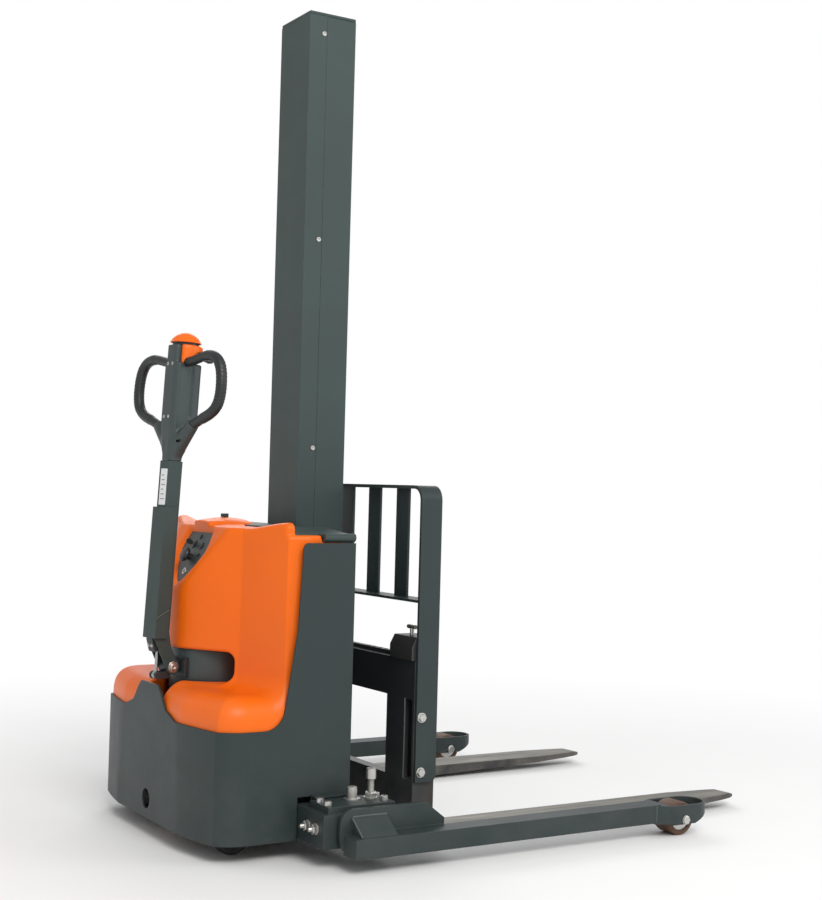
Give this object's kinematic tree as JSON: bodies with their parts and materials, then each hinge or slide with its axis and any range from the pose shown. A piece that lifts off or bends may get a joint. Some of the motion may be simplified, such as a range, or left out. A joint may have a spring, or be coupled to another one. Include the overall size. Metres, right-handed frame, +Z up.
{
  "type": "walkie stacker",
  "caption": "Pedestrian walkie stacker with a closed single-column mast, wide straddle legs, hook-on forks, load backrest and an upright steering tiller.",
  "frame": {"origin": "middle of the truck's footprint on the floor, with the forks lowered and the tiller upright", "axes": "+X from the tiller towards the fork tips, +Y to the truck's left seen from the tiller, +Z up"},
  "size_m": [1.539, 1.136, 1.97],
  "materials": {
    "frame_paint": "satin powder coat, dark green-grey",
    "cover_orange": "semi-gloss moulded cover",
    "carriage_paint": "satin black paint",
    "dark_plastic": "fine-grained moulding",
    "grip_rubber": "soft-touch",
    "button_black": "satin",
    "button_orange": "semi-gloss",
    "zinc": "zinc plated",
    "chrome_rod": "ground and chromed",
    "fork_paint": "black paint, worn to bare steel on top",
    "drive_iron": "machined and painted casting",
    "drive_tread": "polyurethane tread",
    "load_tread": "polyurethane tread, dusty",
    "caster_tread": "rubber tread",
    "battery_case": "moulded case",
    "unit_grey": "painted unit",
    "heatsink": "extruded",
    "chain_steel": "oiled"
  },
  "bodies": {
    "chassis": {"chassis_frame": "frame_paint", "skirt_shell": "frame_paint", "tower_cover": "cover_orange", "top_cap": "frame_paint", "control_panel": "dark_plastic", "charge_socket": "zinc", "batteries": "battery_case", "hydraulic_unit": "unit_grey", "power_electronics": "heatsink", "lift_cylinder": "unit_grey", "mast_profile": "frame_paint", "mast_rear_cover": "frame_paint", "mast_cap": "frame_paint", "mast_screws": "zinc", "steer_bearing": "zinc", "leg_clamps": "frame_paint", "clamp_bolts": "zinc", "chain_rear": "chain_steel"},
    "steer_head": {"drive_housing": "drive_iron", "drive_motor": "drive_iron", "motor_cover": "dark_plastic", "tiller_yoke": "carriage_paint"},
    "drive_roller": {"drive_wheel": "drive_tread"},
    "tiller": {"tiller_arm": "frame_paint", "tiller_cover": "frame_paint", "tiller_pin": "zinc", "head_body": "dark_plastic", "head_guard": "button_orange", "handle_grips": "grip_rubber"},
    "safety_button": {"belly_button": "button_orange"},
    "speed_control": {"throttle": "button_black"},
    "lift_control": {"lift_rocker": "button_black"},
    "horn": {"horn_button": "button_black"},
    "gas_rod": {"gas_spring_rod": "chrome_rod"},
    "gas_tube": {"gas_spring_tube": "button_black"},
    "key": {"key_switch": "button_black"},
    "stop_button": {"emergency_stop": "button_black"},
    "knob": {"cover_knob": "button_black"},
    "swivel_left": {"caster_fork_left": "zinc"},
    "swivel_right": {"caster_fork_right": "zinc"},
    "caster_roller_left": {"caster_wheel_left": "caster_tread"},
    "caster_roller_right": {"caster_wheel_right": "caster_tread"},
    "outrigger_left": {"leg_left": "frame_paint", "load_axle_left": "zinc"},
    "outrigger_right": {"leg_right": "frame_paint", "load_axle_right": "zinc"},
    "load_roller_left": {"load_wheel_left": "load_tread"},
    "load_roller_right": {"load_wheel_right": "load_tread"},
    "carriage": {"carriage_frame": "carriage_paint", "backrest": "frame_paint", "backrest_bolts": "zinc"},
    "rollers_upper": {"carriage_rollers_upper": "zinc"},
    "rollers_lower": {"carriage_rollers_lower": "zinc"},
    "tine_left": {"fork_left": "fork_paint"},
    "tine_right": {"fork_right": "fork_paint"},
    "latch_left": {"fork_pin_left": "zinc"},
    "latch_right": {"fork_pin_right": "zinc"},
    "lift_rod": {"cylinder_rod": "chrome_rod", "chain_front": "chain_steel"},
    "sheave": {"chain_sheave": "zinc"}
  },
  "joints": [
    {"name": "steering", "type": "hinge", "parent": "chassis", "child": "steer_head", "pos_m": [-0.58648, 0, 0.39], "axis": [0, 0, 1], "range_deg": [-62, 42]},
    {"name": "drive_wheel_spin", "type": "hinge", "parent": "steer_head", "child": "drive_roller", "pos_m": [-0.58648, 0, 0.1], "axis": [-0.1736, 0.9848, 0], "continuous": true},
    {"name": "tiller_tilt", "type": "hinge", "parent": "steer_head", "child": "tiller", "pos_m": [-0.70958, -0.02171, 0.39], "axis": [0.1736, -0.9848, 0], "range_deg": [0, 70], "stiffness_Nm_per_rad": 45, "springref_deg": -11.46},
    {"name": "gas_spring_swing", "type": "hinge", "parent": "steer_head", "child": "gas_rod", "pos_m": [-0.74411, -0.0278, 0.37193], "axis": [0.1736, -0.9848, 0], "range_deg": [0, 72]},
    {"name": "gas_spring_stroke", "type": "slide", "parent": "gas_rod", "child": "gas_tube", "axis": [0.055, 0.0097, 0.9984], "range_m": [-0.05, 0]},
    {"name": "safety_press", "type": "slide", "parent": "tiller", "child": "safety_button", "axis": [-0.055, -0.0097, -0.9984], "range_m": [0, 0.005], "stiffness_N_per_m": 900, "springref_m": -0.002},
    {"name": "speed_turn", "type": "hinge", "parent": "tiller", "child": "speed_control", "pos_m": [-0.67568, -0.01573, 1.11321], "axis": [-0.1736, 0.9848, 0], "range_deg": [-25, 25], "stiffness_Nm_per_rad": 0.6},
    {"name": "lift_rock", "type": "hinge", "parent": "tiller", "child": "lift_control", "pos_m": [-0.66571, -0.01397, 1.04353], "axis": [-0.1736, 0.9848, 0], "range_deg": [-15, 15], "stiffness_Nm_per_rad": 0.3},
    {"name": "horn_press", "type": "slide", "parent": "tiller", "child": "horn", "axis": [-0.9833, -0.1734, 0.0558], "range_m": [0, 0.003], "stiffness_N_per_m": 600, "springref_m": -0.001},
    {"name": "key_turn", "type": "hinge", "parent": "chassis", "child": "key", "pos_m": [-0.64559, 0.017, 0.67578], "axis": [-0.8944, 0, 0.4472], "range_deg": [-90, 0]},
    {"name": "stop_press", "type": "slide", "parent": "chassis", "child": "stop_button", "axis": [0.8944, 0, -0.4472], "range_m": [0, 0.006]},
    {"name": "knob_turn", "type": "hinge", "parent": "chassis", "child": "knob", "pos_m": [-0.56948, 0, 0.74], "axis": [0, 0, 1], "range_deg": [0, 90]},
    {"name": "caster_swivel_left", "type": "hinge", "parent": "chassis", "child": "swivel_left", "pos_m": [-0.61848, 0.247, 0.1], "axis": [0, 0, 1], "continuous": true},
    {"name": "caster_spin_left", "type": "hinge", "parent": "swivel_left", "child": "caster_roller_left", "pos_m": [-0.64448, 0.247, 0.04], "axis": [0, 1, 0], "continuous": true},
    {"name": "leg_width_left", "type": "slide", "parent": "chassis", "child": "outrigger_left", "axis": [0, 1, 0], "range_m": [0, 0.12]},
    {"name": "load_spin_left", "type": "hinge", "parent": "outrigger_left", "child": "load_roller_left", "pos_m": [0.40452, 0.5155, 0.04], "axis": [0, 1, 0], "continuous": true},
    {"name": "caster_swivel_right", "type": "hinge", "parent": "chassis", "child": "swivel_right", "pos_m": [-0.61848, -0.247, 0.1], "axis": [0, 0, 1], "continuous": true},
    {"name": "caster_spin_right", "type": "hinge", "parent": "swivel_right", "child": "caster_roller_right", "pos_m": [-0.64448, -0.247, 0.04], "axis": [0, 1, 0], "continuous": true},
    {"name": "leg_width_right", "type": "slide", "parent": "chassis", "child": "outrigger_right", "axis": [0, -1, 0], "range_m": [0, 0.12]},
    {"name": "load_spin_right", "type": "hinge", "parent": "outrigger_right", "child": "load_roller_right", "pos_m": [0.40452, -0.5155, 0.04], "axis": [0, 1, 0], "continuous": true},
    {"name": "lift", "type": "slide", "parent": "chassis", "child": "carriage", "axis": [0, 0, 1], "range_m": [0, 1.5]},
    {"name": "upper_rollers_spin", "type": "hinge", "parent": "carriage", "child": "rollers_upper", "pos_m": [-0.32598, 0, 0.41], "axis": [0, 1, 0], "range_deg": [0, 2960]},
    {"name": "lower_rollers_spin", "type": "hinge", "parent": "carriage", "child": "rollers_lower", "pos_m": [-0.32598, 0, 0.19], "axis": [0, -1, 0], "range_deg": [0, 2960]},
    {"name": "fork_shift_left", "type": "slide", "parent": "carriage", "child": "tine_left", "axis": [0, -1, 0], "range_m": [0, 0.196]},
    {"name": "fork_pin_lift_left", "type": "slide", "parent": "tine_left", "child": "latch_left", "axis": [0, 0, 1], "range_m": [0, 0.008], "stiffness_N_per_m": 500, "springref_m": -0.002},
    {"name": "fork_shift_right", "type": "slide", "parent": "carriage", "child": "tine_right", "axis": [0, 1, 0], "range_m": [0, 0.196]},
    {"name": "fork_pin_lift_right", "type": "slide", "parent": "tine_right", "child": "latch_right", "axis": [0, 0, 1], "range_m": [0, 0.008], "stiffness_N_per_m": 500, "springref_m": -0.002},
    {"name": "rod_lift", "type": "slide", "parent": "chassis", "child": "lift_rod", "axis": [0, 0, 1], "range_m": [0, 0.76], "deforming": ["chain_front", "chain_rear"]},
    {"name": "sheave_spin", "type": "hinge", "parent": "lift_rod", "child": "sheave", "pos_m": [-0.38148, 0, 1.04], "axis": [0, -1, 0], "range_deg": [0, 1800]}
  ],
  "couplings": [
    {"joint": "gas_spring_swing", "follows": "tiller_tilt", "ratio": 1.0139},
    {"joint": "gas_spring_stroke", "follows": "tiller_tilt", "m_per_rad": -0.0369},
    {"joint": "rod_lift", "follows": "lift", "ratio": 0.5},
    {"joint": "sheave_spin", "follows": "lift", "rad_per_m": 20.833},
    {"joint": "upper_rollers_spin", "follows": "lift", "rad_per_m": 34.247},
    {"joint": "lower_rollers_spin", "follows": "lift", "rad_per_m": 34.247}
  ]
}
